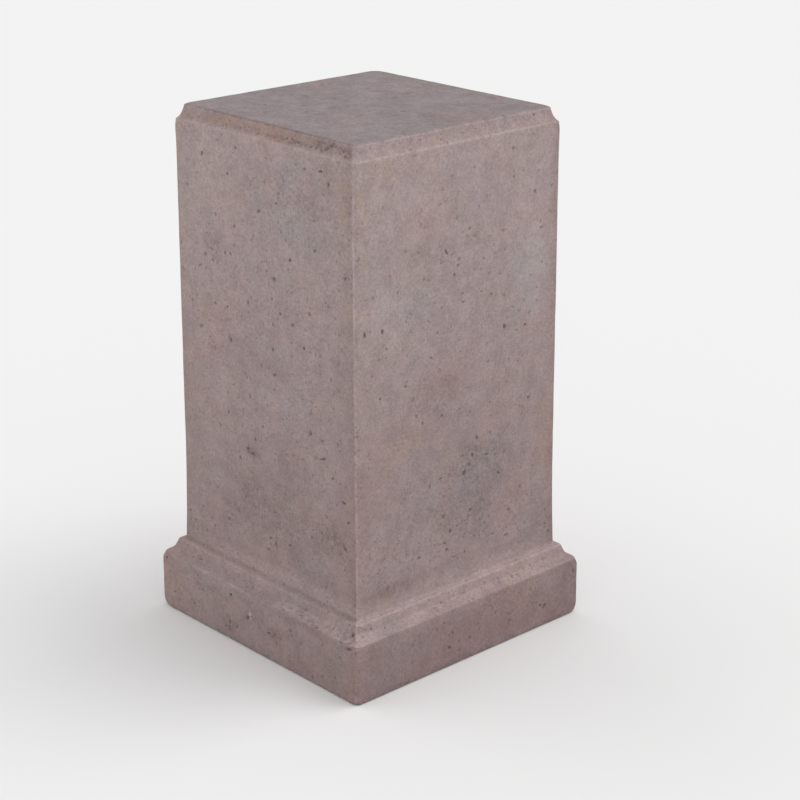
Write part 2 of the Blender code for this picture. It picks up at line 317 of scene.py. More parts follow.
def graded(length):
    """Cuts between 0 and length, close at both ends and wider towards the middle."""
    steps = []
    step = FINE_STEP
    while sum(steps) + step < length / 2:
        steps.append(step)
        step = min(step * STEP_GROWTH, COARSE_STEP)
    if not steps:
        return [length / 2]
    cuts = np.cumsum(steps)
    cuts = cuts * (length / 2) / (cuts[-1] + steps[-1] / 2)
    return [*cuts, *(length - cuts[::-1])]


def dense_rings(rings):
    """Keeps the rings of rounded edges and lays graded ones along the stretches between them.

    Gives each ring's place along the outline, and the rings.
    """
    steps = np.hypot(np.diff(rings[:, 0]), np.diff(rings[:, 1]))
    along = np.concatenate([[0.0], np.cumsum(steps)])
    near = np.minimum(np.append(steps, 1.0), np.insert(steps, 0, 1.0)) < RING_GAP
    kept = along[near]
    places = [kept[0]]
    for start, end in zip(kept, kept[1:]):
        if end - start > RING_GAP:
            places += [start + cut for cut in graded(end - start)]
        places.append(end)
    columns = [np.interp(places, along, rings[:, k]) for k in range(3)]
    return np.array(places), np.stack(columns, axis=1)


def edge_mask(places, rings, sign, spread):
    """How near each ring is to a convex (sign 1) or hollow (sign -1) edge, from 0 to 1."""
    first, last = rings[0], rings[-1]
    closed = np.vstack([[first[0], 0.0, 0.0], rings, [last[0], 0.0, 0.0]])
    headings = np.arctan2(np.diff(closed[:, 0]), np.diff(closed[:, 1]))
    turns = np.maximum(sign * np.diff(headings), 0.0)
    gaps = places[:, None] - places[None, :]
    nearby = (turns * np.exp(-0.5 * (gaps / spread) ** 2)).sum(axis=1)
    return np.minimum(1.0, nearby / FULL_TURN)


# The fine mesh

QUARTERS = (((1, 0), (0, 1)), ((0, 1), (-1, 0)), ((-1, 0), (0, -1)), ((0, -1), (1, 0)))


def ring_points(half_width, corner, shares):
    """One ring in plan, with each point's distance from the middle of the nearest corner."""
    inner = half_width - corner
    for along, across in QUARTERS:
        along, across = Vector(along), Vector(across)
        for step in range(CORNER_STEPS + 1):
            angle = pi / 2 * step / CORNER_STEPS
            place = (along + across) * inner + (along * cos(angle) + across * sin(angle)) * corner
            yield place, corner * abs(angle - pi / 4)
        for share in shares:
            place = across * half_width - along * (share * inner)
            yield place, inner * (1 - abs(share)) + corner * pi / 4


def add_cap(mesh, ring, height, half_width, corner, shares, add_vertex, outward):
    """Closes a ring with a grid, a strip along each side and a fan in each corner."""
    inner = half_width - corner
    stops = [-1.0, *shares, 1.0]
    last = len(stops) - 1
    grid = {}
    for i, across in enumerate(stops):
        for j, along in enumerate(stops):
            x, y = across * inner, along * inner
            depth = half_width - max(abs(x), abs(y))
            grid[i, j] = add_vertex(x, y, height, depth, hypot(inner - abs(x), inner - abs(y)))

    def face(*corners):
        mesh.faces.new(corners if outward > 0 else corners[::-1])

    for i in range(last):
        for j in range(last):
            face(grid[i, j], grid[i + 1, j], grid[i + 1, j + 1], grid[i, j + 1])

    borders = (
        [grid[last - k, last] for k in range(last + 1)],
        [grid[0, last - k] for k in range(last + 1)],
        [grid[k, 0] for k in range(last + 1)],
        [grid[last, k] for k in range(last + 1)],
    )
    per_side = CORNER_STEPS + last
    for quarter, border in enumerate(borders):
        start = quarter * per_side
        arc = ring[start:start + CORNER_STEPS + 1]
        for lower, upper in zip(arc, arc[1:]):
            face(border[0], lower, upper)
        following = ring[(start + per_side) % len(ring)]
        outer = [*ring[start + CORNER_STEPS:start + per_side], following]
        for k in range(last):
            face(border[k], outer[k], outer[k + 1], border[k + 1])


def stack_rings(mesh, places, rings, outline, corner_gap):
    """The closed skin over all rings. Two vertex layers keep where each point lies on it."""
    half_length = rings[:, 1].mean()
    shares = [cut / half_length - 1 for cut in graded(2 * half_length)]

    def add_vertex(x, y, z, place, gap):
        vertex = mesh.verts.new((x, y, z))
        vertex[outline] = place
        vertex[corner_gap] = gap
        return vertex

    rows = []
    for place, (height, half_width, corner) in zip(places, rings):
        points = ring_points(half_width, corner, shares)
        rows.append([add_vertex(at.x, at.y, height, place, gap) for at, gap in points])
    for lower, upper in zip(rows, rows[1:]):
        for k in range(len(lower)):
            following = (k + 1) % len(lower)
            mesh.faces.new((lower[k], lower[following], upper[following], upper[k]))

    def under(x, y, z, depth, gap):
        return add_vertex(x, y, z, places[0] - depth, gap)

    def over(x, y, z, depth, gap):
        return add_vertex(x, y, z, places[-1] + depth, gap)

    add_cap(mesh, rows[0], *rings[0], shares, under, outward=-1)
    add_cap(mesh, rows[-1], *rings[-1], shares, over, outward=1)


# Flaws

PIT_DEPTH_SHARE = 0.36          # depth against width
MARK_DEPTH_SHARE = 0.22
CHIP_DEPTH_SHARE = 0.20
TABLE_DEPTH_SHARE = 0.25
PIT_DIRT = 0.50
DEEP_DIRT = 0.72
MARK_DIRT = 0.32
CAVETTO_DIRT = 0.45
TABLE_DIRT = 0.8
CHIP_FRESHNESS = 0.12
BOWL = (0.35, 1.15)             # shares of its radius between which a flaw rises to its rim
FLAW_LOBES = ((2, 0.16, 1), (3, 0.10, 2.3))     # waves round the rim, their size and turn

# Scattered pits, in millimetres
SCATTER_SMALLEST = 2.0
SCATTER_USUAL = 0.5             # how much wider they usually are
SCATTER_LARGEST = 5.0
SCATTER_LENGTHS = (1.0, 1.8)    # length against width
SCATTER_SWAY = 25               # degrees off upright or level
SCATTER_DIRT = (0.30, 0.2, 0.9)                 # least, more for each millimetre, and most

# How many on LEFT and on RIGHT, how many on the others, how far to either side of the
# middle, lowest and highest place, and growth
SCATTER_BANDS = (
    (16, 16, 148, 96, 592, 1.0),
    (0, 40, 145, 100, 588, 3.0),
    (4, 12, 170, 6, 64, 1.3),
    (6, 6, 162, 73, 86, 1.0),
    (10, 10, 146, 600, 612, 1.0),
)
TABLE_SCATTER = 14
TABLE_SCATTER_REACH = 138
TABLE_SCATTER_LENGTHS = (1.2, 2.6)


class Flaw:
    """An oval hollow of some depth round a point, with a dirty or a fresh floor."""

    def __init__(self, point, normal, tangent, length, width, tilt, depth, dirt, fresh=0.0):
        turn = Matrix.Rotation(radians(tilt), 3, normal)
        self.point = np.array(point)
        self.normal = np.array(normal)
        self.long_way = np.array(turn @ tangent)
        self.short_way = np.cross(self.normal, self.long_way)
        self.half_length = length / 2
        self.half_width = width / 2
        self.depth = depth
        self.dirt = dirt
        self.fresh = fresh


def surface_frame(side, along, height, rings):
    """Point, outward direction and direction along the side, at a place on the outline."""
    outward, sideways = side
    half_width = np.interp(height, rings[:, 0], rings[:, 1])
    reach = 0.0004
    lean = np.interp([height - reach, height + reach], rings[:, 0], rings[:, 1])
    normal = (outward * 2 * reach + UP * (lean[0] - lean[1])).normalized()
    return outward * half_width + sideways * along + UP * height, normal, sideways


def side_flaws(side, rows, rings, depth_share, dirt, fresh=0.0):
    for along, height, length, width, tilt in rows:
        point, normal, tangent = surface_frame(side, along * MM, height * MM, rings)
        depth = depth_share * width * MM
        yield Flaw(point, normal, tangent, length * MM, width * MM, tilt, depth, dirt, fresh)


def table_flaws(rows, rings):
    for x, y, length, width, tilt in rows:
        point = Vector((x * MM, y * MM, rings[-1, 0]))
        depth = TABLE_DEPTH_SHARE * width * MM
        along = Vector((1, 0, 0))
        yield Flaw(point, UP, along, length * MM, width * MM, tilt, depth, TABLE_DIRT)


def scattered_flaws(rings, random):
    """Small pits everywhere, and larger ones too on the sides that have no list of their own."""
    least_dirt, more_dirt, most_dirt = SCATTER_DIRT

    def pit(side, along, height, growth):
        width = min(SCATTER_SMALLEST + random.exponential(SCATTER_USUAL) * growth, SCATTER_LARGEST)
        length = width * random.uniform(*SCATTER_LENGTHS)
        tilt = random.choice((0, 90)) + random.normal(0, SCATTER_SWAY)
        dirt = min(least_dirt + more_dirt * (width - SCATTER_SMALLEST), most_dirt)
        row = (along, height, length, width, tilt)
        return next(side_flaws(side, [row], rings, PIT_DEPTH_SHARE, dirt))

    for side in SIDES:
        listed = side in (LEFT, RIGHT)
        for listed_count, other_count, reach, low, high, growth in SCATTER_BANDS:
            for _ in range(listed_count if listed else other_count):
                along = random.uniform(-reach, reach)
                yield pit(side, along, random.uniform(low, high), growth)
    for _ in range(TABLE_SCATTER):
        x, y = random.uniform(-TABLE_SCATTER_REACH, TABLE_SCATTER_REACH, 2)
        width = SCATTER_SMALLEST + random.exponential(SCATTER_USUAL)
        length = width * random.uniform(*TABLE_SCATTER_LENGTHS)
        yield next(table_flaws([(x, y, length, width, random.uniform(0, 180))], rings))


def all_flaws(rings):
    """The listed flaws, then the scattered ones."""
    lists = (
        (LEFT, LEFT_PITS, PIT_DEPTH_SHARE, PIT_DIRT),
        (RIGHT, RIGHT_PITS, PIT_DEPTH_SHARE, PIT_DIRT),
        (LEFT, LEFT_DEEP, PIT_DEPTH_SHARE, DEEP_DIRT),
        (RIGHT, RIGHT_DEEP, PIT_DEPTH_SHARE, DEEP_DIRT),
        (LEFT, LEFT_MARKS, MARK_DEPTH_SHARE, MARK_DIRT),
        (RIGHT, RIGHT_MARKS, MARK_DEPTH_SHARE, MARK_DIRT),
        (LEFT, CAVETTO_PITS, MARK_DEPTH_SHARE, CAVETTO_DIRT),
        (LEFT, LEFT_CHIPS, CHIP_DEPTH_SHARE, 0.0, CHIP_FRESHNESS),
        (RIGHT, RIGHT_CHIPS, CHIP_DEPTH_SHARE, 0.0, CHIP_FRESHNESS),
        (LEFT, WHITE_CHIPS, CHIP_DEPTH_SHARE, 0.0, 1.0),
    )
    flaws = []
    for side, rows, *kind in lists:
        flaws += side_flaws(side, rows, rings, *kind)
    flaws += table_flaws(TABLE_PITS, rings)
    flaws += scattered_flaws(rings, np.random.default_rng(SEED))
    return flaws


def read(items, name, width, kind=np.float32):
    """One property of all items, as an array with a row for each."""
    values = np.empty(len(items) * width, kind)
    items.foreach_get(name, values)
    return values.reshape(-1, width) if width > 1 else values


def refine_round(mesh, flaws):
    """Splits the faces in and near each flaw until they can carry its shape."""
    sketch = bpy.data.meshes.new("sketch")
    for _ in range(REFINE_PASSES):
        mesh.to_mesh(sketch)
        places = read(sketch.vertices, "co", 3)
        ends = read(sketch.edges, "vertices", 2, np.int32)
        lengths = np.linalg.norm(places[ends[:, 0]] - places[ends[:, 1]], axis=1)
        sides = read(sketch.loops, "edge_index", 1, np.int32)
        starts = read(sketch.polygons, "loop_start", 1, np.int32)
        middles = read(sketch.polygons, "center", 3)
        longest = np.maximum.reduceat(lengths[sides], starts)
        wanted = np.zeros(len(starts), bool)
        for flaw in flaws:
            limit = max(REFINE_SHARE * flaw.half_width, REFINE_FLOOR)
            limit *= 1.0 if flaw.depth > SLIGHT_DEPTH else SLIGHT_COARSENESS
            gap = np.linalg.norm(middles - flaw.point, axis=1)
            reach = REFINE_REACH * flaw.half_length + 0.5 * longest
            wanted |= (gap < reach) & (longest > limit)
        counts = np.diff(np.append(starts, len(sides)))
        picked = np.unique(sides[np.repeat(wanted, counts)])
        picked = picked[lengths[picked] > REFINE_FLOOR / 2]
        mesh.edges.ensure_lookup_table()
        edges = [mesh.edges[index] for index in picked]
        bmesh.ops.subdivide_edges(mesh, edges=edges, cuts=1, use_grid_fill=True)
    bpy.data.meshes.remove(sketch)
    bmesh.ops.triangulate(mesh, faces=mesh.faces[:])


def field(places, size, offset):
    """Smooth noise about zero, with features of roughly the given size."""
    shift = Vector((offset, 2.7 * offset, -1.3 * offset))
    return np.array([noise.noise(Vector(place) / size + shift) for place in places])


def smooth(values, low, high):
    share = np.clip((values - low) / (high - low), 0.0, 1.0)
    return share * share * (3 - 2 * share)


def sink_flaws(places, flaws):
    """Depth cut out by the flaws at each point, with its shares of dirt and of fresh stone."""
    cut = np.zeros(len(places))
    dirt = np.zeros(len(places))
    fresh = np.zeros(len(places))
    for number, flaw in enumerate(flaws):
        offsets = places - flaw.point
        reach = FLAW_REACH * flaw.half_length + MM
        near = np.flatnonzero((np.abs(offsets) < reach).all(axis=1))
        offsets = offsets[near]
        long_part = offsets @ flaw.long_way / flaw.half_length
        short_part = offsets @ flaw.short_way / flaw.half_width
        radius = np.hypot(long_part, short_part)
        angle = np.arctan2(short_part, long_part)
        wobble = 1
        for lobes, size, turn in FLAW_LOBES:
            wobble = wobble + size * np.sin(lobes * angle + turn * number)
        bowl = 1 - smooth(radius * wobble, *BOWL)
        cut[near] = np.maximum(cut[near], flaw.depth * bowl)
        dirt[near] = np.maximum(dirt[near], flaw.dirt * bowl)
        fresh[near] = np.maximum(fresh[near], flaw.fresh * bowl)
    return cut, dirt, fresh


# Wear, stains, and painted highlights and shade

# Noise that breaks things up: the size of its features, and an offset that sets it apart
WAVE = (0.055, 3)
RIPPLE = (0.011, 5)
KNOCKS = (0.016, 7)
KNOCK_DETAIL = (0.005, 8)
RAGGED = (0.030, 12)
RAGGED_DETAIL = (0.012, 13)
STREAKS = (0.030, 16)
TATTERS = (0.007, 17)
EDGE_CLOUDS = (0.040, 18)
HIDDEN_CLOUD_SIZE = 0.085
HIDDEN_CLOUD_OFFSET = 20

TOP = 0.6145                    # height of the table
WAVE_DEPTH = 0.00016            # slight waviness of every face
RIPPLE_DEPTH = 0.00006
WEAR_DEPTH = 0.0003             # how much the arrises are knocked off at most
WEAR_SPREAD = 0.0022            # width of that wear on an arris
WEAR_CORNER = 0.0030            # and round an upright corner
KNOCK_FADE = (-0.15, 0.45)
CORNER_HEIGHTS = (0.0, 0.5983, TOP)             # outer corners that are rubbed round
CORNER_WEAR = (0.0026, 0.0016, 0.0008)
CORNER_REACH = 0.0065
FRONT_CORNER_SHARE = 0.3        # the corner towards the camera is rubbed less
UNDERSIDE_EASE = 0.006          # the wear fades out over this height above the floor

# Shares for LEFT, RIGHT, BACK and FAR
# Pale arrises: wear with a painted highlight, strongest on the RIGHT
ARRIS_PALENESS = (0.7, 1.0, 0.9, 0.7)
# Paleness of the base moulding: painted highlight with some wear, strongest on the RIGHT
MOULDING_PALENESS = (0.32, 0.85, 0.7, 0.4)
# Darkening of the crease: painted shade with some dirt, strongest on the LEFT, none on the RIGHT
CREASE_SHADE_AND_DIRT = (1.0, 0.0, 0.5, 0.8)

# Widths of the masks
ARRIS_SPREAD = 0.0009
CREASE_SPREAD = 0.0012
RIM_SPREAD = 0.0080
RIM_CORNER = 0.0120
UPRIGHT_SPREAD = 0.0014
UPRIGHT_PALENESS = 0.6
RIM_START = 0.3                 # the rim round the head lies above this
DULL_TABLE_EDGE = 0.606         # above this the arris on the LEFT is not pale
DULL_BASE_EDGE = 0.074          # below this no arris is very pale
DULL_BASE_SHARE = 0.3
TABLE_EDGE = (0.0026, 0.0012)   # outside its face, the table's tone starts and is full here

# The pale line down the front corner, a painted highlight: how far round on the LEFT it runs at
# two heights
FRONT_LINE = (0.0018, 0.0040)
FRONT_LINE_ENDS = (0.09, 0.59)
FRONT_LINE_WIDTH = 0.0016
FRONT_SHOULDER = 0.0045         # it fades over this width on the RIGHT
FRONT_SHOULDER_SHARE = 0.45
FRONT_LINE_HEIGHTS = (0.070, 0.095, 0.35, 0.45, 0.53, 0.56)
FRONT_LINE_SHARES = (0.7, 1.8, 2.3, 2.1, 1.7, 1.0)
FRONT_REACH = 0.030

# Heights over which one part of the base gives way to the next
PLINTH_TOP = (0.0696, 0.0705)
COVE_TOP = (0.0765, 0.0785)
THROAT_TOP = (0.0866, 0.0872)
FILLET_TOP = (0.0902, 0.0930)
# How much each part of the moulding takes of its painted highlight and wear
COVE_TONE, THROAT_TONE, FILLET_TONE = 1.25, 0.6, 1.9
LEFT_SLANT = 0.9                # the moulding is the LEFT's where -y is over this share of |x|
TATTERED_FROM = (0.020, 0.075)  # its cove is rubbed paler, in tatters, towards the front
TATTERED_SHARE = 2.6
TATTERS_FADE = (-0.45, 0.15)

# Stains
STAIN_FADE = (0.35, 1.35)       # shares of its radius over which a stain fades
HIDDEN_FADE = (0.05, 0.60)

# Dirt along the upright edges: side, which end of it, reach along the side, share
EDGE_DIRT = (
    (LEFT, 1, 0.034, 0.60),
    (LEFT, -1, 0.008, 0.16),
    (RIGHT, 1, 0.020, 0.60),
    (BACK, -1, 0.018, 0.30),
    (FAR, 1, 0.018, 0.30),
)


def hump(gap, width):
    """One where the gap is nought, falling off over the width."""
    return np.exp(-((gap / width) ** 2))


def worn_depth(places, convex, corner_gap):
    """How far the surface is worn back, before the flaws."""
    wave = 0.5 + 0.5 * field(places, *WAVE)
    ripple = 0.5 + 0.5 * field(places, *RIPPLE)
    edge = np.maximum(convex, hump(corner_gap, WEAR_CORNER))
    knocks = smooth(field(places, *KNOCKS), *KNOCK_FADE)
    knocks = knocks * (0.5 + 0.5 * field(places, *KNOCK_DETAIL))
    depth = WAVE_DEPTH * wave + RIPPLE_DEPTH * ripple + WEAR_DEPTH * edge * knocks
    depth = depth * smooth(places[:, 2], 0.0, UNDERSIDE_EASE)
    front = (places[:, 0] > 0) & (places[:, 1] < 0)
    for height, wear in zip(CORNER_HEIGHTS, CORNER_WEAR):
        gap = np.hypot(corner_gap, places[:, 2] - height)
        knock = np.where(front, FRONT_CORNER_SHARE, 1.0) * wear * hump(gap, CORNER_REACH)
        depth = np.maximum(depth, knock)
    return depth


def facing_side(places):
    """Which of SIDES each point lies on, by number."""
    return np.argmax([places @ np.array(outward) for outward, _ in SIDES], axis=0)


def stain_masks(places, facing, on_table):
    """Strength of each kind of stain at each point."""
    masks = {kind: np.zeros(len(places)) for kind in ("tan", "grey", "dark", "pale", "grime")}
    ragged = 0.55 * field(places, *RAGGED) + 0.35 * field(places, *RAGGED_DETAIL)

    def lay(kind, strength, first, second, there):
        body = 1 - smooth(np.hypot(first, second) + ragged, *STAIN_FADE)
        masks[kind] = np.maximum(masks[kind], np.where(there, strength * body, 0.0))

    for side, kind, rows in STAINS:
        there = (facing == SIDES.index(side)) & ~on_table
        for along, height, half_length, half_height, strength in rows:
            across = (places @ np.array(side[1]) - along * MM) / (half_length * MM)
            upward = (places[:, 2] - height * MM) / (half_height * MM)
            lay(kind, strength, across, upward, there)
    for x, y, half_length, half_width, kind, strength in TABLE_STAINS:
        across = (places[:, 0] - x * MM) / (half_length * MM)
        onward = (places[:, 1] - y * MM) / (half_width * MM)
        lay(kind, strength, across, onward, on_table)

    hidden = (facing > 1) & ~on_table
    for number, (kind, share) in enumerate(HIDDEN_SIDES.items()):
        clouds = field(places, HIDDEN_CLOUD_SIZE, HIDDEN_CLOUD_OFFSET + number)
        cloud = share * smooth(clouds + 0.3 * ragged, *HIDDEN_FADE)
        masks[kind] = np.where(hidden, cloud, masks[kind])
    return masks


def front_corner(places, half_width):
    """Distance round the front corner from its pale line, and what lies near that corner.

    The distance is negative on the LEFT.
    """
    left_gap = half_width - places @ np.array(LEFT[1])
    right_gap = half_width + places @ np.array(RIGHT[1])
    near = np.maximum(left_gap, right_gap) < FRONT_REACH
    line = -np.interp(places[:, 2], FRONT_LINE_ENDS, FRONT_LINE)
    return right_gap - left_gap - line, near


def front_highlight(places, round_front):
    """The painted highlight down the front corner, with a softer shoulder on the RIGHT."""
    line = hump(round_front, FRONT_LINE_WIDTH)
    shoulder = FRONT_SHOULDER_SHARE * hump(round_front, FRONT_SHOULDER)
    line = np.where(round_front > 0, np.maximum(line, shoulder), line)
    return line * np.interp(places[:, 2], FRONT_LINE_HEIGHTS, FRONT_LINE_SHARES)


def edge_dirt(places, facing, half_width):
    """Dirt that thickens towards some of the upright edges."""
    dirt = np.zeros(len(places))
    cloud = 0.85 + 0.5 * field(places, *EDGE_CLOUDS)
    for side, end, reach, share in EDGE_DIRT:
        gap = half_width - end * (places @ np.array(side[1]))
        there = facing == SIDES.index(side)
        layer = share * cloud * (1 - smooth(gap, 0.0, reach))
        dirt = np.maximum(dirt, np.where(there, layer, 0.0))
    return dirt


def moulding_highlight_and_wear(places):
    """How pale the moulding between plinth and shaft is: a painted highlight with some wear on
    the faces that slope up, most of all its fillet, and rubbed tatters on the LEFT cove.
    """
    def band(start, end):
        return smooth(places[:, 2], *start) * (1 - smooth(places[:, 2], *end))

    on_left = places[:, 1] < -LEFT_SLANT * np.abs(places[:, 0])
    tatters = smooth(field(places, *TATTERS), *TATTERS_FADE)
    worn = TATTERED_SHARE * smooth(places[:, 0], *TATTERED_FROM) * tatters
    cove = band(PLINTH_TOP, COVE_TOP) * np.where(on_left, 1 + worn, 1.0)
    throat = band(COVE_TOP, THROAT_TOP)
    fillet = band(THROAT_TOP, FILLET_TOP)
    streaks = 0.95 + 0.25 * field(places, *STREAKS)
    return (COVE_TONE * cove + THROAT_TONE * throat + FILLET_TONE * fillet) * streaks


def surface_masks(places, rings, gaps, on_table, bend):
    """Where the stone is stained, worn or dirty, and where highlights and shade are painted on it,
    apart from its flaws.

    bend(sign, spread) is how near each point is to a convex or a hollow edge.
    """
    height = places[:, 2]
    half_width = np.interp(height, rings[:, 0], rings[:, 1])
    round_front, near_front = front_corner(places, half_width)
    facing = facing_side(places)
    facing = np.where(near_front & (facing == 0) & (round_front > 0), 1, facing)

    masks = stain_masks(places, facing, on_table)
    # Painted highlight, with some wear, on the base moulding
    moulding = moulding_highlight_and_wear(places) * np.array(MOULDING_PALENESS)[facing]
    masks["pale"] = np.maximum(masks["pale"], moulding)
    dirt = np.where(on_table, 0.0, edge_dirt(places, facing, half_width))
    masks["dark"] = np.maximum(masks["dark"], dirt)

    paleness = np.array(ARRIS_PALENESS)[facing]
    paleness = np.where((facing == 0) & (height > DULL_TABLE_EDGE), 0.0, paleness)
    paleness = np.where(height < DULL_BASE_EDGE, DULL_BASE_SHARE * paleness, paleness)
    # Pale upright corners, wear with a painted highlight, and the painted highlight down the front
    # corner
    upright = UPRIGHT_PALENESS * hump(gaps, UPRIGHT_SPREAD)
    upright = np.where(near_front, front_highlight(places, round_front), upright)
    masks["arris"] = np.maximum(bend(1, ARRIS_SPREAD) * paleness, upright)
    masks["rim"] = np.maximum(bend(1, RIM_SPREAD) * (height > RIM_START), hump(gaps, RIM_CORNER))
    # Painted shade, with some dirt, in the hollow edges
    masks["crease"] = bend(-1, CREASE_SPREAD) * np.array(CREASE_SHADE_AND_DIRT)[facing]
    return masks


def build_pedestal():
    """The dressed piece, with its masks as vertex attributes."""
    along, rings = dense_rings(solid_rings(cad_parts["pedestal"]))
    flaws = all_flaws(rings)
    mesh = bmesh.new()
    outline = mesh.verts.layers.float.new("outline")
    corner_gap = mesh.verts.layers.float.new("corner_gap")
    stack_rings(mesh, along, rings, outline, corner_gap)
    refine_round(mesh, flaws)
    data = bpy.data.meshes.new("pedestal_stone")
    mesh.to_mesh(data)
    mesh.free()

    places = read(data.vertices, "co", 3).astype(float)
    normals = read(data.vertices, "normal", 3)
    on_outline = read(data.attributes["outline"].data, "value", 1)
    gaps = read(data.attributes["corner_gap"].data, "value", 1)
    on_table = on_outline > along[-1] + TABLE_START

    def bend(sign, spread):
        return np.interp(on_outline, along, edge_mask(along, rings, sign, spread), 0.0, 0.0)

    cut, pit, fresh = sink_flaws(places, flaws)
    depth = np.maximum(worn_depth(places, bend(1, WEAR_SPREAD), gaps), cut)
    data.vertices.foreach_set("co", (places - normals * depth[:, None]).ravel())

    masks = surface_masks(places, rings, gaps, on_table, bend)
    masks["pit"] = pit
    masks["fresh"] = fresh
    masks["table"] = smooth(on_outline, along[-1] - TABLE_EDGE[0], along[-1] - TABLE_EDGE[1])
    for name, values in masks.items():
        layer = data.attributes.new(name, "FLOAT", "POINT")
        layer.data.foreach_set("value", values.astype(np.float32))
    data.update()
    data.shade_smooth()
    piece = bpy.data.objects.new("pedestal_stone", data)
    bpy.context.scene.collection.objects.link(piece)
    return piece


# Stone

# The stone is darker towards the bottom
HIGH_STONE = srgb(171, 154, 153)
LOW_STONE = srgb(155, 137, 136)
SPECULAR = 0.30

# Tints that multiply the colour of the stone
GREY_TINT = (0.92, 1.02, 1.04, 1.0)
PINK_TINT = (1.10, 1.01, 1.00, 1.0)
TAN_TINT = (1.07, 0.985, 0.88, 1.0)
PALE_TINT = (1.30, 1.33, 1.33, 1.0)
CREAM_TINT = (1.30, 1.30, 1.29, 1.0)
FRESH_TINT = (1.90, 1.95, 1.95, 1.0)
DARK_TINT = (0.76, 0.69, 0.68, 1.0)
DIRT_TINT = (0.36, 0.31, 0.32, 1.0)
# The table's tint: a greyer finish, darkened partly as painted shade
TABLE_TINT = (0.69, 0.71, 0.745, 1.0)

# Patches of noise: size, detail, offset, warp, the two levels that they fade between, and
# their values there
PATCHES = {
    "grey": (0.090, 3.0, 1.0, 0.0, 0.42, 0.66, 0.0, 0.38),
    "pink": (0.065, 3.0, 5.0, 0.0, 0.46, 0.70, 0.0, 0.38),
    "tan": (0.050, 4.0, 15.0, 0.0, 0.45, 0.68, 0.0, 0.38),
    "tan_stain": (0.020, 4.0, 8.0, 0.0, 0.30, 0.62, 0.35, 1.0),
    "blotch": (0.018, 2.0, 3.0, 0.3, 0.30, 0.70, 0.935, 1.06),
    "mottle": (0.0036, 3.0, 12.0, 0.6, 0.32, 0.66, 1.065, 0.90),
    "grain": (0.0017, 2.0, 2.0, 0.0, 0.28, 0.72, 0.92, 1.08),
    "crowding": (0.022, 3.0, 14.0, 0.0, 0.35, 0.65, 0.35, 1.0),
    "pools": (0.014, 3.0, 33.0, 0.5, 0.42, 0.70, 0.0, 0.28),
    "sheen": (0.030, 3.0, 35.0, 0.5, 0.40, 0.66, 0.0, 0.20),
    "grime": (0.0048, 3.0, 31.0, 0.8, 0.44, 0.58, 0.25, 1.6),
    "arris": (0.010, 4.0, 6.0, 0.0, 0.30, 0.55, 0.3, 1.0),
    "crease": (0.018, 4.0, 9.0, 0.0, 0.25, 0.60, 0.5, 1.0),
    "roughness": (0.004, 3.0, 7.0, 0.0, 0.3, 0.7, 0.80, 0.95),
}

# Specks: size of a cell, share of the cells that hold one, radius, offset, raggedness
SPECKS = {
    "fine": (0.0042, 0.60, 0.34, 21.0, 0.22),
    "coarse": (0.0080, 0.42, 0.24, 22.0, 0.22),
    "dabs": (0.019, 0.45, 0.30, 24.0, 0.25),
}
SPECK_SHAKE = 2.6
SPECK_SWAY = 4
SPECK_EDGE = (-0.08, 0.10)

# How strongly each thing tints the stone
SHARES = {
    "grey": 0.60, "rim": 0.35, "tan": 0.85, "fine": 0.44, "coarse": 0.48, "dabs": 0.60,
    "arris": 0.60, "crease": 0.60,
}
WORN_CLEARS_TAN = (0.2, 0.9, 1.0, 0.0)          # wear, and the share of tan left on it
COARSE_THINS_OUT = (0.46, 0.58, 1.0, 0.5)       # heights, and the share of specks there

RELIEF_NOISE = (0.0016, 4.0, 4.0)
FINE_RELIEF = 0.5
COARSE_RELIEF = 0.9
BUMP_STRENGTH = 0.6
BUMP_DISTANCE = 0.0008


